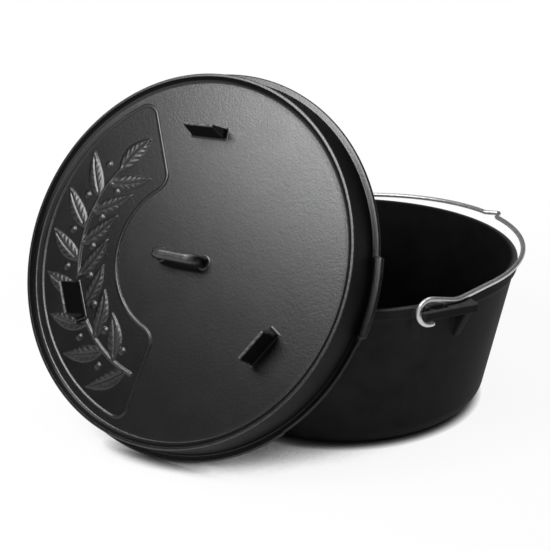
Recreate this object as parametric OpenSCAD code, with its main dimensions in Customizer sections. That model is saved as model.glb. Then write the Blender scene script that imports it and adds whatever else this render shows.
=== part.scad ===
// Camp dutch oven with its lid leaned against the pot and its bail folded down.
// The pot stands on its base centre at the origin, up is Z, the ears lie on Y, the bail folds to +X.
// Lengths are millimetres and angles are degrees.

/* [Pot] */
// Outer diameter of the rim
rim_d = 400; // [370:1:430]
// Height from the base to the rim
pot_h = 173; // [155:1:195]
// How far the wall draws in on each side, from rim to base
wall_draw = 36; // [28:0.5:44]
// Thickness of the wall
pot_wall = 6.5; // [5:0.1:8]
// Thickness of the floor
pot_floor = 7.5; // [6:0.1:10]
// Rounding where the base meets the wall
corner_r = 30; // [20:1:36]
// Height of the band round the rim
band_h = 10; // [7:0.5:14]
// How far the band stands out from the wall
band_out = 0.6; // [0.4:0.1:2]

/* [Ears] */
// Thickness of the ear plates
ear_t = 9; // [7:0.5:11]
// How far the ears reach out from the rim
ear_reach = 18; // [17:0.5:24]
// Length of the ears past the hinge on the side that the bail folds to
ear_long = 48; // [42:1:56]
// Length of the ears past the hinge on the other side
ear_short = 17; // [13:0.5:19]
// Diameter of the cast bar that the wire hook goes round
bar_d = 8; // [6:0.25:8.5]
// How far below the rim the ribs end
rib_drop = 38; // [28:1:44]
// How far the hinge is set back from the middle of the pot
hinge_back = 3.5; // [0:0.5:6]

/* [Lid] */
// Height from the back of the flange to the lip
lid_h = 41.5; // [38:0.5:46]
// Width of the lip
lip_w = 7.5; // [6:0.25:10]
// Depth of the plate below the lip
plate_drop = 6.6; // [4:0.1:8]
// Thickness of the plate
plate_t = 7; // [5.5:0.1:9]
// How far the flange stands out from the rim
flange_out = 11; // [8:0.25:14]
// Thickness of the flange
flange_t = 4.5; // [3.5:0.1:6]
// How far the grip tabs stand out from the flange
tab_out = 4; // [2:0.25:6]
// Angle that each grip tab covers
tab_angle = 22.5; // [16:0.5:32]

/* [Lid handle and feet] */
// Height of the handle over the plate
handle_h = 23; // [20:0.5:25]
// Length of the handle
handle_l = 64; // [56:1:72]
// Thickness of the handle
handle_t = 9.5; // [8:0.25:11]
// Width of the handle
handle_w = 12; // [9:0.5:16]
// Height of the feet over the plate
foot_h = 27; // [26.5:0.25:32]
// Length of the feet
foot_l = 42; // [34:0.5:48]
// Distance of the feet from the middle
foot_at = 137; // [120:0.5:145]

/* [Bail] */
// Diameter of the wire
wire_d = 5.5; // [4.5:0.1:6.5]
// Diameter of the hooks, measured inside
hook_d = 21.5; // [20:0.25:23]
// Angle that the hooks turn through
hook_turn = 204; // [190:1:250]
// Length of the arms, from the hinge to the bend
arm_l = 31; // [28:0.5:36]
// Height of the middle of the folded hoop over the rim
hoop_up = 9; // [7:0.5:16]
// Width of the notch in the hoop
notch_w = 23; // [19:0.5:32]
// Depth of the notch
notch_d = 12; // [8:0.5:16]
// Distance of the notch from the middle of the hoop
notch_at = 7; // [0:0.5:12]

/* [Rest pose] */
// Angle that the lid leans back from upright
lid_lean = 27.5; // [25:0.25:30]
// Side of the pot that the lid leans on, measured round from the bail side
lid_side = -144.5; // [-150:0.5:-140]
// Sideways shift of the lid along the rim
lid_shift = 87.5; // [75:0.5:92]
// Gap between the lid and the rim that it leans on
lean_gap = 0.35; // [0.2:0.05:0.8]
// Gap between the wire and the rim that it lies over
wire_gap = 0.3; // [0.2:0.05:0.8]

/* [Hidden] */
$fn = 96;
iron = [0.16, 0.16, 0.17];
steel = [0.72, 0.73, 0.75];

rim_r = rim_d / 2;
wall_top_r = rim_r - band_out;
base_r = wall_top_r - wall_draw;
draft = atan(wall_draw / pot_h);
edge_r = 2;
rim_in_r = wall_top_r - pot_wall / cos(draft);

ear_drop = 0.3;
hinge_z = pot_h - ear_drop - ear_t / 2;
wire_r = wire_d / 2;
hook_r = hook_d / 2 + wire_r;
hook_s = rim_r + 6.5;
slot_s0 = rim_r + 1;
slot_w = 11;
ear_end = max(rim_r + ear_reach, slot_s0 + slot_w + 4);

lip_r = rim_r;
plate_r = lip_r - lip_w;
plate_z = lid_h - plate_drop;
under_z = plate_z - plate_t;
flange_r = rim_r + flange_out;
skirt_r = rim_r + 3.4;
skirt_in_r = rim_r - 3.5;
skirt_in_top_r = rim_r - 6.5;
lip_bead = 2.2;
foot_angles = [91, 209, 328.5];

arm_z = pot_h - ear_drop + wire_gap + wire_r - hinge_z;
arm_a = atan2(arm_z, arm_l) + acos(hook_r / norm([arm_l, arm_z]));
hoop_r = rim_r - 5;
hoop_c = hinge_back + 12.7;
hoop_a = atan2(hook_s, arm_l - hoop_c) - acos(hoop_r / norm([arm_l - hoop_c, hook_s]));
hoop_lift = pot_h + hoop_up - hinge_z - arm_z;
hoop_span = hoop_c + hoop_r - arm_l;

lid_z = flange_r * cos(lid_lean);
lean_reach = (rim_r - edge_r) * cos(lid_lean) + (pot_h - edge_r) * sin(lid_lean) + edge_r;
lid_e = (lean_reach - under_z + lean_gap - lid_z * sin(lid_lean)) / cos(lid_lean);

function arc(cx, cy, r, a0, a1, n = 12) =
    [for (i = [0:n]) [cx + r * cos(a0 + (a1 - a0) * i / n), cy + r * sin(a0 + (a1 - a0) * i / n)]];

function unit(v) = v / norm(v);

// Points of a bend from a to c that would meet at b
function bend(a, b, c, n = 5) =
    [for (i = [0:n]) let (t = i / n) a * pow(1 - t, 2) + b * 2 * t * (1 - t) + c * pow(t, 2)];

function flip_y(p) = [for (i = [len(p) - 1:-1:0]) [p[i][0], -p[i][1], p[i][2]]];

// A round wire along the points of a path
module wire(path, r, sides = 14) {
    n = len(path);
    t = [for (i = [0:n - 1]) unit(path[min(i + 1, n - 1)] - path[max(i - 1, 0)])];
    across = [
        for (i = 0, v = [0, 1, 0]; i < n; i = i + 1, v = i < n ? unit(v - (v * t[i]) * t[i]) : v) v
    ];
    points = [
        for (i = [0:n - 1])
            for (k = [0:sides - 1])
                let (a = 360 * k / sides)
                    path[i] + r * (across[i] * cos(a) + cross(t[i], across[i]) * sin(a))
    ];
    sides_faces = [
        for (i = [0:n - 2])
            for (k = [0:sides - 1])
                let (k2 = (k + 1) % sides)
                    [i * sides + k, (i + 1) * sides + k, (i + 1) * sides + k2, i * sides + k2]
    ];
    first = [for (k = [0:sides - 1]) k];
    last = [for (k = [sides - 1:-1:0]) (n - 1) * sides + k];
    polyhedron(points, concat(sides_faces, [first, last]));
}

// The outside of the pot with its rim band, filled
module pot_body() {
    cx = base_r + tan(draft) * corner_r - corner_r / cos(draft);
    band_z = pot_h - band_h;
    rotate_extrude()
        polygon(concat(
            [[0, 0]],
            arc(cx, corner_r, corner_r, -90, -draft),
            [[wall_top_r - tan(draft) * (band_h + 3), band_z - 3], [rim_r, band_z]],
            arc(rim_r - edge_r, pot_h - edge_r, edge_r, 0, 90, 6),
            [[0, pot_h]]
        ));
}

// The space inside the pot
module pot_space() {
    r = corner_r - pot_floor;
    cz = pot_floor + r;
    cx = base_r + tan(draft) * cz - pot_wall / cos(draft) - r / cos(draft);
    rotate_extrude()
        polygon(concat(
            [[0, pot_floor]],
            arc(cx, cz, r, -90, -draft),
            [[rim_in_r - tan(draft) * edge_r, pot_h - edge_r]],
            arc(rim_in_r + edge_r - tan(draft) * edge_r, pot_h - edge_r, edge_r, 180, 90, 6),
            [[rim_in_r + 1.5, pot_h + 5], [0, pot_h + 5]]
        ));
}

// A rib under an ear, a triangle standing on the wall
module ear_rib(x, w, reach, drop, root) {
    translate([x + w / 2, 0, 0])
        rotate([90, 0, -90])
            linear_extrude(height = w)
                polygon([
                    [rim_r - 18, pot_h - ear_drop - ear_t / 2],
                    [rim_r + reach, pot_h - ear_drop - ear_t / 2],
                    [rim_r + reach, pot_h - ear_drop - ear_t - 2],
                    [rim_r - root, pot_h - drop],
                    [rim_r - 18, pot_h - drop]
                ]);
}

// One ear: a plate with a slot for the wire hook, the bar across the slot, and two ribs
module ear() {
    r = 4;
    z0 = pot_h - ear_drop - ear_t;
    difference() {
        translate([0, 0, z0])
            union() {
                translate([-ear_short, -(ear_end - r), 0])
                    cube([ear_short + ear_long, ear_end - r - rim_r + 30, ear_t]);
                translate([-ear_short + r, -ear_end, 0])
                    cube([ear_short + ear_long - 2 * r, ear_end - rim_r, ear_t]);
                for (x = [-ear_short + r, ear_long - r])
                    translate([x, -(ear_end - r), 0])
                        cylinder(r = r, h = ear_t);
            }
        translate([-60, -(slot_s0 + slot_w), z0 - 1])
            cube([60 - hinge_back + hook_r + wire_r + 2, slot_w, ear_t + 2]);
    }
    translate([-hinge_back, -(slot_s0 - 8), hinge_z])
        rotate([90, 0, 0])
            cylinder(d = bar_d, h = slot_w + 10);
    ear_rib(-14, 10, 2, rib_drop, 6);
    ear_rib(ear_long - 9, 8, ear_reach - 6, rib_drop + 6, 9);
}

// The pot casting
module pot() {
    color(iron)
        difference() {
            union() {
                pot_body();
                ear();
                mirror([0, 1, 0])
                    ear();
            }
            pot_space();
        }
}

// The lid's plate, lip, skirt and flange
module lid_body() {
    fr = 8;
    lean_in = atan((skirt_in_r - skirt_in_top_r) / under_z);
    fz = under_z - fr;
    fx = skirt_in_r - tan(lean_in) * fz - fr / cos(lean_in);
    bead_z = lid_h - lip_bead;
    rotate_extrude()
        polygon(concat(
            [[0, under_z]],
            arc(fx, fz, fr, 90, lean_in, 8),
            [[skirt_in_r, 0]],
            arc(flange_r - 1.5, 1.5, 1.5, -90, 0, 4),
            arc(flange_r - 1.5, flange_t - 1.5, 1.5, 0, 90, 4),
            arc(skirt_r + 1.5, flange_t + 1.5, 1.5, 270, 180, 6),
            arc(lip_r - lip_bead, bead_z, lip_bead, 0, 180, 12),
            [[plate_r, plate_z], [0, plate_z]]
        ));
}

// The two grip tabs on the flange
module lid_tabs() {
    for (a = [0, 180])
        rotate([0, 0, a - tab_angle / 2])
            rotate_extrude(angle = tab_angle)
                translate([flange_r - 4, 0.4])
                    square([4 + tab_out, flange_t + 1.6]);
}

// A bar with two round corners at its top, from the middle of the plate upwards
module staple(half, h, r, w) {
    translate([-half, -w / 2, plate_z - 3])
        cube([2 * half, w, h - r + 3]);
    translate([r - half, -w / 2, plate_z - 3])
        cube([2 * (half - r), w, h + 3]);
    for (x = [r - half, half - r])
        translate([x, 0, plate_z + h - r])
            rotate([90, 0, 0])
                cylinder(r = r, h = w, center = true);
}

// The handle in the middle of the plate, with room for a finger or a hook under it
module lid_handle() {
    r = handle_t + 5.5;
    difference() {
        staple(handle_l / 2, handle_h, r, handle_w);
        translate([0, 0, -1])
            staple(handle_l / 2 - handle_t, handle_h - handle_t + 1, r - handle_t, handle_w + 2);
    }
}

// The three feet that the lid stands on when it is turned over
module lid_feet() {
    for (a = foot_angles)
        rotate([0, 0, a])
            translate([foot_at, 0, plate_z])
                hull() {
                    translate([-5.5, -foot_l / 2, -2])
                        cube([11.5, foot_l, 2]);
                    translate([0.5, -foot_l / 2 + 2.5, foot_h - 0.5])
                        cube([3, foot_l - 5, 0.5]);
                }
}

// The lid casting, leaned against the pot
module lid() {
    place = [
        lid_e * cos(lid_side) + lid_shift * sin(lid_side),
        lid_e * sin(lid_side) - lid_shift * cos(lid_side),
        lid_z
    ];
    color(iron)
        translate(place)
            rotate([0, 0, lid_side + 90])
                rotate([90 - lid_lean, 0, 0])
                    union() {
                        lid_body();
                        lid_tabs();
                        lid_handle();
                        lid_feet();
                    }
}

// Points of one half of the wire: hook, arm, half of the hoop and half of the notch
function hoop_point(a) =
    let (x = hoop_c + hoop_r * cos(a))
        [x, hoop_r * sin(a), arm_z + hoop_lift * pow((x - arm_l) / hoop_span, 2)];

function bail_half(side) =
    let (
        notch_a = asin((notch_w / 2 + side + 4) / hoop_r),
        hook = [
            for (i = [0:18])
                let (a = arm_a + hook_turn * (1 - i / 18))
                    [hook_r * cos(a), hook_s, hook_r * sin(a)]
        ],
        corner = [arm_l, hook_s, arm_z],
        run = hoop_point(hoop_a),
        corner_in = corner + 6 * unit(hook[18] - corner),
        corner_out = corner + 6 * unit(run - corner),
        hoop = [for (i = [0:23]) hoop_point(hoop_a + (notch_a - hoop_a) * i / 24)],
        foot = [hoop_point(notch_a)[0], notch_w / 2 + side, hoop_point(notch_a)[2]],
        mid = [hoop_c + hoop_r + notch_d, side, hoop_point(0)[2]],
        foot_out = foot + 4.5 * unit(mid - foot),
        top_in = mid - 5 * unit(mid - foot)
    )
        concat(
            hook,
            bend(corner_in, corner, corner_out),
            hoop,
            bend(hoop_point(notch_a), foot, foot_out, 4),
            [top_in, mid * 0.6 + top_in * 0.4 - [0.4, 0, 0]]
        );

// The wire bail, folded down over the rim
module bail() {
    color(steel)
        translate([-hinge_back, 0, hinge_z])
            wire(concat(bail_half(notch_at), flip_y(bail_half(-notch_at))), wire_r);
}

pot();
lid();
bail();
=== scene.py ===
"""Camp dutch oven: the looks. Lengths are millimetres until a mesh is made, then metres."""

import bpy
import numpy as np
from mathutils import Matrix, Vector


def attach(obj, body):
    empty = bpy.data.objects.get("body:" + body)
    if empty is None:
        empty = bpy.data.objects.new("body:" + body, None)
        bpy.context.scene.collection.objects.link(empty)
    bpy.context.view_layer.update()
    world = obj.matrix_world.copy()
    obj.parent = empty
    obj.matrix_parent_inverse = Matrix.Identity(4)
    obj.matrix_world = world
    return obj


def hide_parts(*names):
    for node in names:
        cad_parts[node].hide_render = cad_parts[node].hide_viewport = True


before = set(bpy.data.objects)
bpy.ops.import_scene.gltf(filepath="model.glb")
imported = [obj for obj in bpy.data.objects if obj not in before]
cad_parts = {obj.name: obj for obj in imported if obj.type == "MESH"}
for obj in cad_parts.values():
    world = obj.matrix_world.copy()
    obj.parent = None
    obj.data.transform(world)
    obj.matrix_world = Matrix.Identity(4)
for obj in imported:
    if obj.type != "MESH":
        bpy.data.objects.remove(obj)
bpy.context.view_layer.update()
scene = bpy.context.scene
scene.view_settings.view_transform = "Standard"

MM = 0.001

# The part's own sizes. RIM, WIRE and the names that end in _R are radii.
RIM = 200.0
RIM_EDGE = 2.0
POT_H = 173.0
DRAW = 36.0
BAND_OUT = 0.6
BAND_H = 10.0
WALL = 6.5
FLOOR = 7.5
CORNER = 30.0
WALL_TOP = RIM - BAND_OUT
SLOPE = DRAW / POT_H
DRAFT = np.arctan(SLOPE)

EAR_TOP = POT_H - 0.3
EAR_T = 9.0
EAR_SHORT = 17.0
EAR_LONG = 48.0
EAR_REACH = 18.0
SLOT_W = 11.0
BAR_R = 4.0
RIB_DROP = 38.0
HINGE_X = -3.5
HINGE_Z = EAR_TOP - EAR_T / 2

WIRE = 2.75
WIRE_GAP = 0.3
HOOK_D = 21.5
HOOK_R = HOOK_D / 2 + WIRE
HOOK_S = RIM + 6.5
HOOK_TURN = np.radians(204)
ARM_L = 31.0
HOOP_X = 12.7
HOOP_R = RIM - 5
HOOP_UP = 9.0
NOTCH_W = 23.0
NOTCH_D = 12.0
NOTCH_AT = 7.0

LID_H = 41.5
LIP_H = 6.6
PLATE_T = 7.0
PLATE_Z = LID_H - LIP_H
UNDER_Z = PLATE_Z - PLATE_T
FLANGE_R = RIM + 11.0
FLANGE_T = 4.5
SKIRT_R = RIM + 3.4
SKIRT_IN_R = RIM - 3.5
TAB_OUT = 4.0
TAB_RISE = 1.6
TAB_HALF = 11.25
NARROW_IN = 1.2
NARROW_AT = (330.2, 150.2)
NARROW_HALF = 16.0
FEET = (91.0, 209.0, 328.5)
FOOT_AT = 137.0
FOOT_H = 27.0
FOOT_HALF = 21.0
FOOT_FRONT = 6.0
HANDLE_H = 23.0
HANDLE_L = 64.0
HANDLE_T = 9.5
HANDLE_W = 12.0
LEAN = np.radians(27.5)
LEAN_GAP = 0.35
SIDE = np.radians(-144.5)
SHIFT = 87.5

# The lid's own axes and middle, in the part's frame
lid_z = FLANGE_R * np.cos(LEAN)
lean_reach = (RIM - RIM_EDGE) * np.cos(LEAN) + (POT_H - RIM_EDGE) * np.sin(LEAN) + RIM_EDGE
lid_e = (lean_reach - UNDER_Z + LEAN_GAP - lid_z * np.sin(LEAN)) / np.cos(LEAN)
LID_N = np.array([np.cos(LEAN) * np.cos(SIDE), np.cos(LEAN) * np.sin(SIDE), np.sin(LEAN)])
LID_U = np.array([-np.sin(SIDE), np.cos(SIDE), 0.0])
LID_V = np.cross(LID_N, LID_U)
LID_C = np.array([
    lid_e * np.cos(SIDE) + SHIFT * np.sin(SIDE),
    lid_e * np.sin(SIDE) - SHIFT * np.cos(SIDE),
    lid_z,
])


def on_lid(p):
    """Points from the lid's own axes to the part's frame."""
    p = np.asarray(p, float)
    return LID_C + p[:, :1] * LID_U + p[:, 1:2] * LID_V + p[:, 2:3] * LID_N


def arc(cx, cy, r, a0, a1, n):
    """Points of an arc between two angles in degrees."""
    a = np.radians(np.linspace(a0, a1, n + 1))
    return [(cx + r * np.cos(t), cy + r * np.sin(t)) for t in a]


def line(p, q, n):
    """Points between two ends, without the ends."""
    return [(p[0] + (q[0] - p[0]) * k / n, p[1] + (q[1] - p[1]) * k / n) for k in range(1, n)]


def smooth(a, b, x):
    """A soft step from 0 at a to 1 at b."""
    t = np.clip((x - a) / (b - a), 0, 1)
    return t * t * (3 - 2 * t)


# Meshes

class Shell:
    """Gathers quads and triangles of one piece."""

    def __init__(self):
        self.points = []
        self.faces = []
        self.finishes = []
        self.wear_and_sheen = []
        self.count = 0

    def add(self, verts, faces, wear_and_sheen=0.0, finish=0):
        """Each point gets a number that turns the iron paler and more metallic, partly real scuffing and
        partly a painted highlight on edges and tops. Finish is the material number of each face; some
        materials are duller copies of the iron that paint shade.
        """
        verts = np.asarray(verts, float)
        for group in faces:
            self.faces.append(np.asarray(group, int) + self.count)
            self.finishes.append(np.zeros(len(group), int) + finish)
        self.points.append(verts)
        self.wear_and_sheen.append(np.zeros(len(verts)) + wear_and_sheen)
        self.count += len(verts)

    def build(self, name, *materials):
        """The piece as an object, in metres."""
        verts = np.vstack(self.points) * MM
        flat = np.concatenate([g.ravel() for g in self.faces])
        sizes = np.concatenate([np.full(len(g), g.shape[1]) for g in self.faces])
        me = bpy.data.meshes.new(name)
        me.vertices.add(len(verts))
        me.vertices.foreach_set("co", verts.ravel())
        me.loops.add(len(flat))
        me.loops.foreach_set("vertex_index", flat.astype(np.int32))
        me.polygons.add(len(sizes))
        starts = np.concatenate([[0], np.cumsum(sizes)[:-1]])
        me.polygons.foreach_set("loop_start", starts.astype(np.int32))
        me.polygons.foreach_set("material_index", np.concatenate(self.finishes).astype(np.int32))
        wear_and_sheen_node = me.attributes.new("wear_and_sheen", "FLOAT", "POINT")
        wear_and_sheen_node.data.foreach_set("value", np.concatenate(self.wear_and_sheen).astype(np.float32))
        me.update(calc_edges=True)
        me.validate()
        me.polygons.foreach_set("use_smooth", np.ones(len(me.polygons), bool))
        for material in materials:
            me.materials.append(material)
        ob = bpy.data.objects.new(name, me)
        scene.collection.objects.link(ob)
        return ob


def lathe(profile, turns, shape=None):
    """A closed turned form. The outline runs from the axis to the axis."""
    prof = np.array(profile, float)
    a = np.linspace(0, 2 * np.pi, turns, endpoint=False)
    r = np.repeat(prof[1:-1, 0][:, None], turns, 1)
    z = np.repeat(prof[1:-1, 1][:, None], turns, 1)
    if shape is not None:
        r, z = shape(r, z, np.degrees(a)[None, :])
    m = len(prof) - 2
    ring = np.stack([r * np.cos(a), r * np.sin(a), z], -1).reshape(-1, 3)
    verts = np.vstack([ring, [[0, 0, prof[0, 1]], [0, 0, prof[-1, 1]]]])
    i = np.arange(m - 1)[:, None] * turns
    j = np.arange(turns)[None, :]
    k = (j + 1) % turns
    quads = np.stack([i + j, i + turns + j, i + turns + k, i + k], -1).reshape(-1, 4)
    j = j.ravel()
    k = k.ravel()
    first = np.stack([np.full(turns, m * turns), j, k], -1)
    last = np.stack([np.full(turns, m * turns + 1), (m - 1) * turns + k, (m - 1) * turns + j], -1)
    return verts, quads, np.vstack([first, last])


def net(field, low, high, step):
    """The zero surface of a distance field, as quads."""
    ax = [np.arange(low[i], high[i] + step, step) for i in range(3)]
    g = np.meshgrid(*ax, indexing="ij")
    f = field(*g)
    inside = f < 0
    count = np.zeros(np.array(f.shape) - 1, np.int8)
    for dx in (0, 1):
        for dy in (0, 1):
            for dz in (0, 1):
                count += inside[dx:f.shape[0] - 1 + dx, dy:f.shape[1] - 1 + dy, dz:f.shape[2] - 1 + dz]
    cell = np.argwhere((count > 0) & (count < 8))
    index = -np.ones(count.shape, np.int64)
    index[tuple(cell.T)] = np.arange(len(cell))
    total = np.zeros((len(cell), 3))
    hits = np.zeros(len(cell))
    for axis in range(3):
        others = [k for k in range(3) if k != axis]
        for d1 in (0, 1):
            for d2 in (0, 1):
                o = np.zeros(3, int)
                o[others[0]] = d1
                o[others[1]] = d2
                p = cell + o
                q = p.copy()
                q[:, axis] += 1
                fa = f[tuple(p.T)]
                fb = f[tuple(q.T)]
                cut = (fa < 0) != (fb < 0)
                t = np.where(cut, fa / np.where(cut, fa - fb, 1), 0)
                at = np.repeat(o[None, :].astype(float), len(cell), 0)
                at[:, axis] += t
                total[cut] += at[cut]
                hits[cut] += 1
    verts = np.array(low) + (cell + total / hits[:, None]) * step
    quads = []
    for axis in range(3):
        b, c = [(1, 2), (2, 0), (0, 1)][axis]
        lo = [slice(None)] * 3
        hi = [slice(None)] * 3
        lo[axis] = slice(0, -1)
        hi[axis] = slice(1, None)
        sa = inside[tuple(lo)]
        sb = inside[tuple(hi)]
        for turn, pick in ((False, sa & ~sb), (True, ~sa & sb)):
            p = np.argwhere(pick)
            ok = (p[:, b] > 0) & (p[:, c] > 0) & (p[:, b] < count.shape[b]) & (p[:, c] < count.shape[c])
            p = p[ok]
            corner = []
            for ob, oc in ((-1, -1), (0, -1), (0, 0), (-1, 0)):
                k = p.copy()
                k[:, b] += ob
                k[:, c] += oc
                corner.append(index[tuple(k.T)])
            corner = np.stack(corner, -1)
            quads.append(corner[:, ::-1] if turn else corner)
    quads = np.vstack(quads)
    return verts, quads[(quads >= 0).all(1)]


def smin(a, b, k):
    """The smaller of two distances, with a blend about k wide."""
    h = np.clip(0.5 + 0.5 * (b - a) / k, 0, 1)
    return b * (1 - h) + a * h - k * h * (1 - h)


def smax(a, b, k):
    """The larger of two distances, with a blend about k wide."""
    return -smin(-a, -b, k)


def outside(p, q):
    """Distance to a corner, from the distances to its two sides."""
    return np.hypot(np.maximum(p, 0), np.maximum(q, 0)) + np.minimum(np.maximum(p, q), 0)


def tube(path, radius, sides):
    """A round wire along a path, with round ends."""
    p = np.asarray(path, float)
    t = np.gradient(p, axis=0)
    t /= np.linalg.norm(t, axis=1)[:, None]
    cap = np.radians(np.linspace(80, 10, 6))
    start = np.array([p[0] - t[0] * radius * np.sin(a) for a in cap])
    end = np.array([p[-1] + t[-1] * radius * np.sin(a) for a in cap[::-1]])
    pts = np.vstack([start, p, end])
    dirs = np.vstack([np.repeat(t[:1], len(cap), 0), t, np.repeat(t[-1:], len(cap), 0)])
    rad = np.concatenate([radius * np.cos(cap), np.full(len(p), radius), radius * np.cos(cap[::-1])])
    across = np.zeros_like(pts)
    v = np.array([0.0, 1.0, 0.0])
    for i in range(len(pts)):
        v = v - dirs[i] * (v @ dirs[i])
        v /= np.linalg.norm(v)
        across[i] = v
    other = np.cross(dirs, across)
    a = np.linspace(0, 2 * np.pi, sides, endpoint=False)
    ring = pts[:, None, :] + rad[:, None, None] * (
        across[:, None, :] * np.cos(a)[None, :, None] + other[:, None, :] * np.sin(a)[None, :, None])
    n = len(pts)
    verts = np.vstack([ring.reshape(-1, 3), [p[0] - t[0] * radius, p[-1] + t[-1] * radius]])
    i = np.arange(n - 1)[:, None] * sides
    j = np.arange(sides)[None, :]
    k = (j + 1) % sides
    quads = np.stack([i + j, i + k, i + sides + k, i + sides + j], -1).reshape(-1, 4)
    j = j.ravel()
    k = k.ravel()
    first = np.stack([np.full(sides, n * sides), k, j], -1)
    last = np.stack([np.full(sides, n * sides + 1), (n - 1) * sides + j, (n - 1) * sides + k], -1)
    return verts, quads, np.vstack([first, last])


# Materials

def node(nt, kind, inputs=None):
    """A new shader node. Its inputs are numbers, colours or the outputs of other nodes."""
    new = nt.nodes.new("ShaderNode" + kind)
    for key, value in (inputs or {}).items():
        if isinstance(value, bpy.types.NodeSocket):
            nt.links.new(value, new.inputs[key])
        else:
            new.inputs[key].default_value = value
    return new


def compute(nt, what, a, b):
    new = node(nt, "Math", {0: a, 1: b})
    new.operation = what
    return new.outputs["Value"]


def span(nt, value, low, high, first, last):
    """A number carried over from one range to another."""
    ends = {"From Min": low, "From Max": high, "To Min": first, "To Max": last}
    return node(nt, "MapRange", {"Value": value, **ends}).outputs["Result"]


def ramp(nt, value, *stops):
    """A colour between two stops, each a place and a colour."""
    new = node(nt, "ValToRGB", {"Fac": value})
    for i, (place, colour) in enumerate(stops):
        new.color_ramp.elements[i].position = place
        new.color_ramp.elements[i].color = (*colour, 1)
    return new.outputs["Color"]


def noise(nt, at, scale, detail, rough):
    new = node(nt, "TexNoise", {"Vector": at, "Scale": scale, "Detail": detail, "Roughness": rough})
    return new.outputs["Fac"]


def bump(nt, height, strength, depth):
    return node(nt, "Bump", {"Height": height, "Strength": strength, "Distance": depth})


def cast_iron(name, grain, dark, pale, gloss, rough):
    """Black seasoned iron: a satin skin over a fine sand-cast grain, turned paler and more metallic on
    its edges and tops, partly by real scuffing and partly as a painted highlight.
    """
    bare_iron_and_sheen = (0.14, 0.14, 0.144)
    blue = 1.03
    mat = bpy.data.materials.new(name)
    mat.use_nodes = True
    nt = mat.node_tree
    bsdf = nt.nodes["Principled BSDF"]
    bsdf.inputs["Specular IOR Level"].default_value = gloss
    at = node(nt, "TexCoord").outputs["Object"]
    patch = noise(nt, at, scale=34, detail=4, rough=0.55)
    fine = noise(nt, at, scale=grain, detail=3, rough=0.6)
    swell = noise(nt, at, scale=170, detail=2, rough=0.5)
    chafe_and_sheen = noise(nt, at, scale=260, detail=3, rough=0.6)
    # painted highlight, partly real scuffing: where the point number is high, broken up by noise, the
    # base turns pale bare iron and the surface metallic
    wear_and_sheen_node = node(nt, "Attribute")
    wear_and_sheen_node.attribute_name = "wear_and_sheen"
    rubbed_and_sheen = compute(nt, "MULTIPLY", wear_and_sheen_node.outputs["Fac"], span(nt, chafe_and_sheen, 0.36, 0.56, 0.35, 1.0))
    skin = ramp(nt, patch, (0.32, (dark, dark, dark * blue)), (0.7, (pale, pale, pale * blue)))
    # of a colour mix, inputs 6 and 7 are the two colours and output 2 is the result
    tint = node(nt, "Mix")
    tint.data_type = "RGBA"
    tint.inputs[7].default_value = (*bare_iron_and_sheen, 1)
    nt.links.new(rubbed_and_sheen, tint.inputs[0])
    nt.links.new(skin, tint.inputs[6])
    nt.links.new(tint.outputs[2], bsdf.inputs["Base Color"])
    nt.links.new(compute(nt, "MULTIPLY", rubbed_and_sheen, 0.85), bsdf.inputs["Metallic"])
    nt.links.new(span(nt, patch, 0.3, 0.7, *rough), bsdf.inputs["Roughness"])
    waves = bump(nt, swell, strength=0.16, depth=0.0004)
    grains = bump(nt, fine, strength=0.62, depth=0.00024)
    nt.links.new(waves.outputs["Normal"], grains.inputs["Normal"])
    nt.links.new(grains.outputs["Normal"], bsdf.inputs["Normal"])
    return mat


def drawn_wire(name):
    """Bright drawn steel with a faint unevenness."""
    mat = bpy.data.materials.new(name)
    mat.use_nodes = True
    nt = mat.node_tree
    bsdf = nt.nodes["Principled BSDF"]
    bsdf.inputs["Metallic"].default_value = 0.9
    at = node(nt, "TexCoord").outputs["Object"]
    spots = noise(nt, at, scale=420, detail=3, rough=0.5)
    tint = ramp(nt, spots, (0.35, (0.58, 0.585, 0.59)), (0.7, (0.70, 0.705, 0.71)))
    nt.links.new(tint, bsdf.inputs["Base Color"])
    nt.links.new(span(nt, spots, 0.3, 0.7, 0.40, 0.46), bsdf.inputs["Roughness"])
    pits = bump(nt, spots, strength=0.02, depth=0.00003)
    nt.links.new(pits.outputs["Normal"], bsdf.inputs["Normal"])
    return mat


iron_pot = cast_iron("iron_pot", grain=420, dark=0.016, pale=0.025, gloss=0.035, rough=(0.54, 0.62))
# a darker copy of the pot's iron for the inside of the pot: painted shade
iron_inside_painted_shade = cast_iron("iron_inside_painted_shade", grain=420, dark=0.008, pale=0.012, gloss=0.04, rough=(0.54, 0.62))
# a rougher, far less reflective copy of the lid's iron for the lip's inner slope, outer wall, underside
# and feet: partly a cast finish, partly painted shade
iron_side_matte_and_shaded = cast_iron("iron_side_matte_and_shaded", grain=420, dark=0.0035, pale=0.0055, gloss=0.09, rough=(0.50, 0.58))
iron_lid = cast_iron("iron_lid", grain=460, dark=0.0012, pale=0.002, gloss=0.64, rough=(0.355, 0.38))
iron_ground = cast_iron("iron_ground", grain=520, dark=0.0012, pale=0.002, gloss=0.36, rough=(0.40, 0.44))
steel = drawn_wire("drawn_wire")


# Pot

def wall_r(z):
    """Outer radius of the wall at a height."""
    return WALL_TOP - SLOPE * (POT_H - z)


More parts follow.
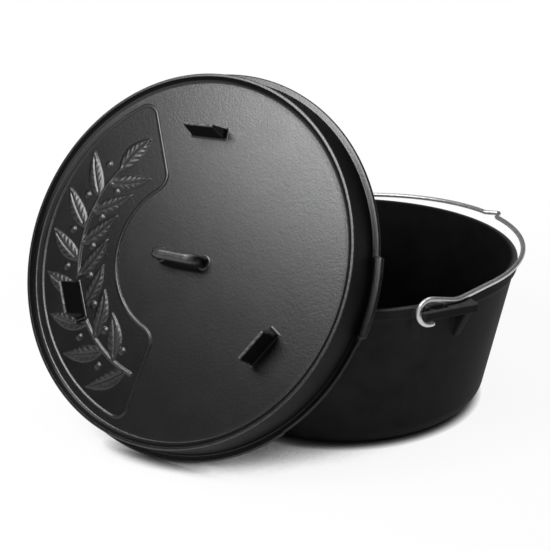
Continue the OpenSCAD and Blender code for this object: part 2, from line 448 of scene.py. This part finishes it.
def pot_profile():
    """Outline of the pot, from the middle of its base to the middle of its floor."""
    deg = np.degrees(DRAFT)
    cos = np.cos(DRAFT)
    base = WALL_TOP - DRAW
    out = [(r, 0) for r in (0, 40, 80, 110, 130)]
    out += arc(base + SLOPE * CORNER - CORNER / cos, CORNER, CORNER, -90, -deg, 24)
    # band under the rim
    band = POT_H - BAND_H
    foot = (wall_r(band - 1.5), band - 1.5)
    band_edge = 0.8
    out += line(out[-1], foot, 24)
    out += [foot, (foot[0] + 0.25, band - 1.2), (RIM - 0.7, band - 0.2)]
    out += arc(RIM - band_edge, band + 0.5, band_edge, -50, 0, 4)
    # rim
    top = POT_H - RIM_EDGE
    out += line(out[-1], (RIM, top), 5)
    out += arc(RIM - RIM_EDGE, top, RIM_EDGE, 0, 90, 8)
    rim_in = WALL_TOP - WALL / cos - SLOPE * RIM_EDGE
    out += arc(rim_in + RIM_EDGE, top, RIM_EDGE, 90, 180, 8)
    # inside
    round_r = CORNER - FLOOR
    round_z = FLOOR + round_r
    round_x = base + SLOPE * round_z - WALL / cos - round_r / cos
    inner = arc(round_x, round_z, round_r, -90, -deg, 20)[::-1]
    out += line(out[-1], inner[0], 26)
    out += inner
    out += [(r, FLOOR) for r in (110, 80, 40, 0)]
    return out


def ear_field(x, s, z):
    """Distance to one ear and the wall that carries it. S runs out from the pot's axis."""
    r = np.hypot(x, s)
    cone = (r - wall_r(z)) * np.cos(DRAFT)
    rim = outside(r - (RIM - RIM_EDGE), z - (POT_H - RIM_EDGE)) - RIM_EDGE
    slant = 0.707
    chamfer = (r - RIM) * slant - (z - (POT_H - BAND_H)) * slant
    sunk = 0.05
    wall = np.minimum(np.maximum(cone, z - POT_H), np.maximum(rim, chamfer)) + sunk
    # plate with round corners and eased edges
    corner, ease = 4.0, 1.6
    end, root = RIM + EAR_REACH, RIM - 26
    along = np.abs(x - (EAR_LONG - EAR_SHORT) / 2) - (EAR_LONG + EAR_SHORT) / 2
    across = np.abs(s - (end + root) / 2) - (end - root) / 2
    flat = outside(along + corner, across + corner) - corner
    up = np.abs(z - HINGE_Z) - EAR_T / 2
    plate = outside(flat + ease, up + ease) - ease
    # slot for the hook, and the bar across it
    slot_end = HINGE_X + HOOK_R + WIRE + 2
    slot = np.maximum(x - slot_end, np.abs(s - HOOK_S) - SLOT_W / 2)
    plate = smax(plate, -slot, 1.8)
    bar_mid, bar_half = RIM + 5, 9.0
    bar = np.maximum(np.hypot(x - HINGE_X, z - HINGE_Z) - BAR_R, np.abs(s - bar_mid) - bar_half)
    ear = smin(plate, bar, 2.0)

    def rib(mid, wide, reach, drop, root):
        a = np.array([RIM + reach, EAR_TOP - EAR_T - 2])
        b = np.array([RIM - root, POT_H - drop])
        d = b - a
        n = np.array([-d[1], d[0]]) / np.hypot(*d)
        slope = (s - a[0]) * n[0] + (z - a[1]) * n[1]
        out = smax(np.abs(x - mid) - wide / 2, slope, 2.0)
        out = smax(out, s - (RIM + reach), 2.0)
        out = np.maximum(out, POT_H - drop - z)
        return np.maximum(out, z - (EAR_TOP - 3))

    near = rib(-14, wide=10, reach=2, drop=RIB_DROP, root=6)
    far = rib(EAR_LONG - 9, wide=8, reach=EAR_REACH - 6, drop=RIB_DROP + 6, root=9)
    ear = smin(ear, np.minimum(near, far), 1.8)
    return smin(wall, ear, 2.6)


def make_pot():
    shell = Shell()
    turns = 384
    outline = pot_profile()
    v, q, t = lathe(outline, turns)
    crest = max(range(len(outline)), key=lambda i: outline[i][1])
    # faces past the rim's crest, and the middle of the floor inside, take the darker copy of the pot's
    # iron: painted shade inside the pot
    inside = (np.repeat(np.arange(len(outline) - 3), turns) > crest).astype(int)
    # painted highlight, partly real scuffing, along the outer edge of the rim's top
    outer_edge = np.hypot(v[:, 0], v[:, 1]) > RIM - 2.4
    rub_and_sheen = 0.7 * smooth(POT_H - 1.6, POT_H - 0.4, v[:, 2]) * outer_edge
    shell.add(v, [q], rub_and_sheen, inside)
    shell.add(v, [t], rub_and_sheen, np.repeat([0, 1], turns))
    # ears, without what their field adds inside the rim
    v, q = net(ear_field, low=(-34, 189, 112), high=(64, 221, 176), step=0.65)
    r = np.hypot(v[:, 0], v[:, 1])
    q = q[(r[q] > RIM - 4.6).all(1) | (v[q][:, :, 2] < POT_H - 14).all(1)]
    # painted highlight, partly real scuffing, along the top edges of the ears
    rub_and_sheen = 0.3 * smooth(EAR_TOP - 1.4, EAR_TOP - 0.4, v[:, 2])
    shell.add(v * [1, -1, 1], [q[:, ::-1]], rub_and_sheen)
    shell.add(v, [q], rub_and_sheen)
    ob = shell.build("pot_casting", iron_pot, iron_inside_painted_shade)
    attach(ob, "pot")
    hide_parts("pot")


# Lid

def lid_profile():
    """Outline of the lid, from the middle of its plate to the middle of its underside. After it come the
    stretches that take the rougher, less reflective copy of the lid's iron, partly a cast finish and
    partly painted shade, each as the numbers of its first and last points."""
    out = [(r, PLATE_Z) for r in (0, 30, 60, 90, 120, 150, 175, 186, 190.4)]
    # small fillet between the plate and the inside of the lip
    fillet = ((191.2, 0.1), (191.9, 0.35), (192.5, 0.8), (192.95, 1.5))
    out += [(r, PLATE_Z + up) for r, up in fillet]
    lip = len(out)
    lip_in, lip_out = 0.8, 1.1
    out += line(out[-1], (196.3, LID_H - 0.9), 4)
    out += arc(197.1, LID_H - lip_in, lip_in, 160, 90, 6)
    top = len(out) - 3
    out += [(198.0, LID_H)]
    out += arc(RIM - lip_out, LID_H - lip_out, lip_out, 85, -4, 7)
    # skirt and flange
    side = len(out) - 4
    root, edge = 1.2, 1.5
    edge_r = FLANGE_R - edge
    out += line(out[-1], (SKIRT_R, FLANGE_T + root), 14)
    out += arc(SKIRT_R + root, FLANGE_T + root, root, 180, 270, 6)
    flange = len(out) - 3
    out += line(out[-1], (edge_r, FLANGE_T), 3)
    out += arc(edge_r, FLANGE_T - edge, edge, 90, 0, 6)
    under = len(out) - 4
    out += arc(edge_r, edge, edge, 0, -90, 6)
    # underside
    seat, seat_r = 0.9, RIM - 2.6
    out += line(out[-1], (seat_r, 0), 6)
    out += arc(seat_r, seat, seat, -90, -174, 5)
    lean_in = np.arctan(3.0 / UNDER_Z)
    round_r = 8.0
    round_z = UNDER_Z - round_r
    round_x = SKIRT_IN_R - np.tan(lean_in) * round_z - round_r / np.cos(lean_in)
    inner = arc(round_x, round_z, round_r, np.degrees(lean_in), 90, 12)
    out += line(out[-1], inner[0], 6)
    out += inner
    out += [(r, UNDER_Z) for r in (150, 100, 50, 0)]
    return out, (lip, top), (side, flange), (under, len(out))


def lid_shape(r, z, deg):
    """Grip tabs and the narrow places of the flange."""
    def sector(mid, half, soft):
        d = np.abs((deg - mid + 180) % 360 - 180)
        return 1 - smooth(half - soft, half + soft, d)

    tab = sum(sector(mid, TAB_HALF, soft=0.3) for mid in (0, 180))
    narrow = sum(sector(mid, NARROW_HALF, soft=0.6) for mid in NARROW_AT)
    low = z < FLANGE_T + 1.3
    front = smooth(SKIRT_R + 0.2, SKIRT_R + 2.2, r) * smooth(1.6, FLANGE_T, z) * low
    edge = smooth(FLANGE_R - 4, FLANGE_R - 0.5, r) * low
    return r + edge * (TAB_OUT * tab - NARROW_IN * narrow), z + front * TAB_RISE * tab


def foot_field(x, y, z):
    """Distance to one foot and the plate under it."""
    def face(foot, head, along):
        """Distance to a sloped side that stands at foot on the plate and at head on top."""
        d = np.array([head - foot, FOOT_H])
        n = np.array([d[1], -d[0]]) / np.hypot(*d)
        return (along - foot) * n[0] + z * n[1]

    end = FOOT_HALF - 2.5
    f = smax(face(FOOT_FRONT, 3.5, x), face(5.5, -0.5, -x), 1.2)
    f = smax(f, smax(face(FOOT_HALF, end, y), face(FOOT_HALF, end, -y), 1.2), 1.3)
    f = smax(f, z - FOOT_H, 1.6)
    # a fillet at the ends and on the side towards the handle
    fillet = 0.1 + 2.3 * np.maximum(smooth(end, 20.5, np.abs(y)), 1 - smooth(-5.0, -1.0, x))
    return smin(f, z + 0.06, fillet)


def handle_field(x, y, z):
    """Distance to the handle and the plate under it."""
    half = HANDLE_T / 2
    turn, ease, sunk = 12.5, 4.7, 2.0
    along = np.abs(x) - (HANDLE_L / 2 - half - turn)
    up = np.abs(z + sunk) - (HANDLE_H - half + sunk - turn)
    loop = np.abs(outside(along, up) - turn) - half
    side = np.abs(y) - HANDLE_W / 2
    bar = outside(loop + ease, side + ease) - ease
    return smin(bar, z + 0.06, 3.0)


# Relief of the lid
STEM_R = 134.0
STEM_ENDS = (142, 257)
LEAF_PAIRS = 7
LEAF_PITCH = 16.0
LEAF_L = 54
TALL = 1.7
PANEL_R = 133.5
PANEL_HALF = 49.5
PANEL_MID = 189.0
PANEL_SPREAD = 72.5
PANEL_CORNER = 16.0


def panel(rad, ang):
    """Distance to the edge of the panel that holds the branch, a bent oblong with round corners."""
    across = np.abs(rad - PANEL_R) - PANEL_HALF
    along = rad * np.radians(np.abs(ang - PANEL_MID) - PANEL_SPREAD)
    return outside(across + PANEL_CORNER, along + PANEL_CORNER) - PANEL_CORNER


def relief(a, b):
    """Low relief on the plate: a leafy branch that follows the lip, in a panel with a plain rim.
    Gives the height and where the sandy ground shows."""
    rad = np.hypot(a, b)
    ang = np.degrees(np.arctan2(b, a)) % 360

    def place(deg, out=0):
        """A point at an angle, on the stem or some way out from it."""
        return (STEM_R + out) * np.cos(np.radians(deg)), (STEM_R + out) * np.sin(np.radians(deg))

    def leaf(at, turn, long, wide):
        """A pointed leaf with a sunk vein and faint side veins."""
        c, s = np.cos(np.radians(turn)), np.sin(np.radians(turn))
        x = a - at[0]
        y = b - at[1]
        u = x * c + y * s
        t = np.clip(u / long, 0, 1)
        w = y * c - x * s - 2.2 * np.sin(np.pi * t) * np.sign(wide)
        half = abs(wide) * np.sin(np.pi * t ** 0.8) ** 0.85 + 1e-6
        crown = np.clip(1 - (w / half) ** 2, 0, 1) * ((u > 0) & (u < long))
        body = TALL * crown ** 0.5
        vein = np.exp(-(w / 1.1) ** 2) * smooth(0.04, 0.15, t) * (1 - smooth(0.8, 0.97, t))
        rows = np.cos(2 * np.pi * (u - 1.1 * np.abs(w)) / 7.5)
        side = 0.15 * rows * smooth(1.5, 4.0, np.abs(w)) * smooth(0, 0.5, crown)
        return np.where(crown > 0, np.maximum(body - vein - side * (body > 0.7), 0), 0)

    def berry(at):
        d = np.hypot(a - at[0], b - at[1]) / 4.2
        return 1.6 * np.sqrt(np.clip(1 - d * d, 0, 1))

    def ridge(away, half, tall):
        t = np.clip(away / half, -1, 1)
        return tall * (1 - t * t) ** 0.75

    first, last = STEM_ENDS
    past = np.radians(np.maximum(np.maximum(first - ang, ang - last), 0)) * STEM_R
    h = ridge(np.hypot(rad - STEM_R, past), 2.5, TALL)
    for k in range(LEAF_PAIRS):
        deg = last - 3 - LEAF_PITCH * k
        grow = deg - 90
        h = np.maximum(h, leaf(place(deg), grow + 46, LEAF_L, 9.4))
        h = np.maximum(h, leaf(place(deg - 8), grow - 56, LEAF_L, -9.0))
        h = np.maximum(h, berry(place(deg - 13.5, 16)))
        h = np.maximum(h, berry(place(deg - 7.5, -15)))
    h = np.maximum(h, leaf(place(first), first - 90, 50, 11.0))
    # plain ground round the feet
    for deg in FEET:
        c, s = np.cos(np.radians(deg)), np.sin(np.radians(deg))
        x = np.abs(a * c + b * s - FOOT_AT) - FOOT_FRONT
        y = np.abs(b * c - a * s) - FOOT_HALF
        h = h * smooth(2.0, 4.5, np.hypot(np.maximum(x, 0), np.maximum(y, 0)))
    edge = panel(rad, ang)
    h = np.maximum(h, ridge(edge, 2.0, 1.3))
    ground = (edge < -1.0) & (h < 0.35)
    grit = np.random.default_rng(5).normal(0, 1, rad.shape)
    for axis in (0, 1):
        grit = (grit + np.roll(grit, 1, axis) + np.roll(grit, -1, axis)) / 3
    return np.where(edge < 0, np.maximum(h, 0.2 + 0.06 * grit), h), ground


def add_body(shell):
    turns = 720
    outline, *stretches = lid_profile()
    v, q, t = lathe(outline, turns, lid_shape)
    row = np.repeat(np.arange(len(outline) - 3), turns)
    # faces in these stretches, and the middle of the underside, take the rougher, less reflective copy of
    # the iron: partly a cast finish, partly painted shade
    matte_and_shaded = np.zeros(len(row), int)
    for first, last in stretches:
        matte_and_shaded[(row >= first - 1) & (row < last - 1)] = 1
    rings = np.repeat(np.array(outline[1:-1], float), turns, 0)
    r, z = np.vstack([rings, np.zeros((2, 2))]).T
    # painted highlight, partly real scuffing, on the lip's crest and the flange's outer edge
    rub_and_sheen = 0.4 * smooth(RIM - 1.7, RIM - 0.9, r) * smooth(LID_H - 1.2, LID_H - 0.4, z)
    rub_and_sheen += 0.12 * smooth(FLANGE_R - 1.2, FLANGE_R - 0.4, r) * (z < FLANGE_T)
    shell.add(on_lid(v), [q[:, ::-1]], rub_and_sheen, matte_and_shaded)
    shell.add(on_lid(v), [t[:, ::-1]], rub_and_sheen, np.repeat([0, 1], turns))


def add_feet(shell):
    v, q = net(foot_field, low=(-12, -27, -1.5), high=(12, 27, 28.5), step=0.5)
    x, y, z = v.T
    # painted highlight, partly real scuffing, on the feet's tops and ends
    rub_and_sheen = smooth(FOOT_H - 1.8, FOOT_H - 0.8, z) + 0.35 * smooth(17.5, 19.0, np.abs(y)) * smooth(3, 9, z)
    # above their roots the feet take the rougher, less reflective copy of the iron: partly a cast finish,
    # partly painted shade
    matte_and_shaded = (z[q].mean(1) > 2).astype(int)
    for deg in FEET:
        c, s = np.cos(np.radians(deg)), np.sin(np.radians(deg))
        p = np.stack([(x + FOOT_AT) * c - y * s, (x + FOOT_AT) * s + y * c, z + PLATE_Z], -1)
        shell.add(on_lid(p), [q], np.clip(rub_and_sheen, 0, 1), matte_and_shaded)


def add_handle(shell):
    v, q = net(handle_field, low=(-40, -15, -1.5), high=(40, 15, 24.5), step=0.5)
    # painted highlight, partly real scuffing, on the handle's top
    shell.add(on_lid(v + [0, 0, PLATE_Z]), [q], 0.3 * smooth(17, 22, v[:, 2]))


def add_relief(shell):
    """A fine sheet that lies just under the plate where it is plain."""
    step, sunk = 0.75, 0.07
    a, b = np.meshgrid(np.arange(-190, 14, step), np.arange(-190, 190, step), indexing="ij")
    h, ground = relief(a, b)
    m, n = a.shape
    h = h.ravel()
    p = np.stack([a.ravel(), b.ravel(), PLATE_Z - sunk + h], -1)
    i = (np.arange(m - 1)[:, None] * n + np.arange(n - 1)[None, :]).ravel()
    q = np.stack([i, i + n, i + n + 1, i + 1], -1)
    q = q[(h[q] > 0).any(1)]
    used = np.unique(q)
    back = np.zeros(len(p), int)
    back[used] = np.arange(len(used))
    sandy = 2 * (ground.ravel()[q].sum(1) > 2)
    # painted highlight, partly real scuffing, on the higher parts of the relief
    shell.add(on_lid(p[used]), [back[q]], 0.3 * smooth(1.0, 2.0, h[used]), sandy)


def make_lid():
    shell = Shell()
    add_body(shell)
    add_feet(shell)
    add_handle(shell)
    add_relief(shell)
    ob = shell.build("lid_casting", iron_lid, iron_side_matte_and_shaded, iron_ground)
    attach(ob, "lid")
    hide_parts("lid")


# Bail

def bail_path():
    """Middle line of the folded wire: hook, arm, half of the hoop and of the notch, and back again."""
    arm_z = EAR_TOP + WIRE_GAP + WIRE - HINGE_Z
    arm_a = np.arctan2(arm_z, ARM_L) + np.arccos(HOOK_R / np.hypot(ARM_L, arm_z))
    hoop_c = HOOP_X - HINGE_X
    hoop_a = np.arctan2(HOOK_S, ARM_L - hoop_c) - np.arccos(HOOP_R / np.hypot(ARM_L - hoop_c, HOOK_S))
    lift = POT_H + HOOP_UP - HINGE_Z - arm_z
    reach = hoop_c + HOOP_R - ARM_L
    soft, tip = 7, 1.45

    def hoop(a):
        x = hoop_c + HOOP_R * np.cos(a)
        return np.stack([x, HOOP_R * np.sin(a), arm_z + lift * ((x - ARM_L) / reach) ** 2], -1)

    def unit(v):
        return v / np.linalg.norm(v)

    def bend(p, q, r, n):
        t = np.linspace(0, 1, n)[:, None]
        return p * (1 - t) ** 2 + q * 2 * t * (1 - t) + r * t ** 2

    def half(side):
        notch_a = np.arcsin((NOTCH_W / 2 + side + 4) / HOOP_R)
        a = arm_a + HOOK_TURN * np.linspace(1, 0, 60)
        hook = np.stack([HOOK_R * np.cos(a), np.full(len(a), HOOK_S), HOOK_R * np.sin(a)], -1)
        corner = np.array([ARM_L, HOOK_S, arm_z])
        corner_in = corner + soft * unit(hook[-1] - corner)
        corner_out = corner + soft * unit(hoop(hoop_a) - corner)
        start = hoop(notch_a)
        foot = np.array([start[0], NOTCH_W / 2 + side, start[2]])
        mid = np.array([hoop_c + HOOP_R + NOTCH_D, side, hoop(0.0)[2]])
        leg = unit(mid - foot)
        return np.vstack([
            hook,
            bend(corner_in, corner, corner_out, 12),
            hoop(np.linspace(hoop_a, notch_a, 120)[:-1]),
            bend(start, foot, foot + 4.5 * leg, 10),
            bend(mid - 4.2 * leg, mid - tip * leg, mid - [tip, 0, 0], 7),
        ])

    one = half(NOTCH_AT)
    two = half(-NOTCH_AT) * [1, -1, 1]
    return np.vstack([one, two[:-1][::-1]]) + [HINGE_X, 0, HINGE_Z]


def make_bail():
    shell = Shell()
    v, q, t = tube(bail_path(), WIRE, 24)
    shell.add(v, [q, t])
    ob = shell.build("bail_wire", steel)
    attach(ob, "bail")
    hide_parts("bail")


make_pot()
make_lid()
make_bail()


# Stage, in metres

def openness(nt, reach):
    """How open a place is, from 0 to 1, counting what lies within reach."""
    new = node(nt, "AmbientOcclusion", {"Distance": reach})
    new.samples = 16
    return new.outputs["AO"]


def make_floor():
    """A white floor. What is seen of it is plain white, with painted shade where the object meets it and
    shuts it in, and near the object a little of the lit floor with its shadow.
    """
    half, drop = 12.0, 0.0004
    me = bpy.data.meshes.new("floor")
    corners = ((-half, -half), (half, -half), (half, half), (-half, half))
    me.from_pydata([(x, y, -drop) for x, y in corners], [], [(0, 1, 2, 3)])
    mat = bpy.data.materials.new("floor_white")
    mat.use_nodes = True
    nt = mat.node_tree
    lit = nt.nodes["Principled BSDF"]
    lit.inputs["Base Color"].default_value = (0.92, 0.92, 0.92, 1)
    lit.inputs["Roughness"].default_value = 0.9
    lit.inputs["Specular IOR Level"].default_value = 0.0
    path = node(nt, "LightPath").outputs
    seen = compute(nt, "MAXIMUM", path["Is Camera Ray"], path["Is Glossy Ray"])
    seen = compute(nt, "MAXIMUM", seen, path["Is Transmission Ray"])
    # near the object a little of the lit floor shows, with its shadow
    away = node(nt, "VectorMath", {0: node(nt, "TexCoord").outputs["Object"]})
    away.operation = "LENGTH"
    fade = span(nt, away.outputs["Value"], 0.30, 0.80, 0.93, 1.0)
    fade.node.interpolation_type = "SMOOTHSTEP"
    # painted shade: the seen white is darkened, by ambient occlusion, where the object meets the floor
    # and where it shuts the floor in
    close = compute(nt, "POWER", openness(nt, 0.012), 1.5)
    deep = span(nt, openness(nt, 0.3), 0.205, 0.375, 0.07, 1.0)
    white = node(nt, "Emission", {"Color": compute(nt, "MULTIPLY", close, deep)})
    mix = node(nt, "MixShader", {
        0: compute(nt, "MULTIPLY", seen, fade),
        1: lit.outputs["BSDF"],
        2: white.outputs["Emission"],
    })
    nt.links.new(mix.outputs["Shader"], nt.nodes["Material Output"].inputs["Surface"])
    me.materials.append(mat)
    ob = bpy.data.objects.new("floor", me)
    scene.collection.objects.link(ob)


def make_world():
    """A white horizon under a dim studio ceiling."""
    world = bpy.data.worlds.new("studio")
    scene.world = world
    world.use_nodes = True
    nt = world.node_tree
    way = node(nt, "TexCoord").outputs["Generated"]
    up = node(nt, "SeparateXYZ", {"Vector": way}).outputs["Z"]
    light = ramp(nt, up, (0.0, (1, 1, 1)), (0.1, (0.035, 0.035, 0.035)))
    background = nt.nodes["Background"]
    background.inputs["Strength"].default_value = 1.0
    nt.links.new(light, background.inputs["Color"])


def softbox(name, az, el, away, wide, high, glow):
    """A rectangular lamp that faces the lid. Its glow is what a mirror would show of it."""
    lid_mid = Vector((-0.207, -0.04, 0.203))
    light = bpy.data.lights.new(name, "AREA")
    light.shape = "RECTANGLE"
    light.size = wide
    light.size_y = high
    light.energy = glow * np.pi * wide * high
    ob = bpy.data.objects.new(name, light)
    scene.collection.objects.link(ob)
    a, e = np.radians(az), np.radians(el)
    way = Vector((np.cos(e) * np.cos(a), np.cos(e) * np.sin(a), np.sin(e)))
    ob.location = lid_mid + way * away
    ob.rotation_euler = (-way).to_track_quat("-Z", "Y").to_euler()


def make_camera():
    """The camera of the photograph, fitted to it."""
    photo_px = 550.0
    focal_px = 1199.9
    cam = bpy.data.cameras.new("camera")
    cam.sensor_width = 36.0
    cam.lens = cam.sensor_width * focal_px / photo_px
    cam.clip_end = 50.0
    ob = bpy.data.objects.new("camera", cam)
    scene.collection.objects.link(ob)
    right = Vector((0.91578829, -0.40145457, -0.0128853))
    up = Vector((0.14952949, 0.3109778, 0.93858071))
    back = -Vector((0.37279047, 0.86146796, -0.34481912))
    m = Matrix((right, up, back)).transposed().to_4x4()
    m.translation = Vector((-0.590265, -1.170987, 0.620867))
    ob.matrix_world = m
    scene.camera = ob


make_floor()
make_world()
softbox("softbox_left", az=196.35, el=52.2, away=0.934, wide=0.562, high=0.419, glow=15.9)
softbox("softbox_top", az=30.0, el=78.0, away=2.2, wide=1.4, high=1.4, glow=3.2)
make_camera()
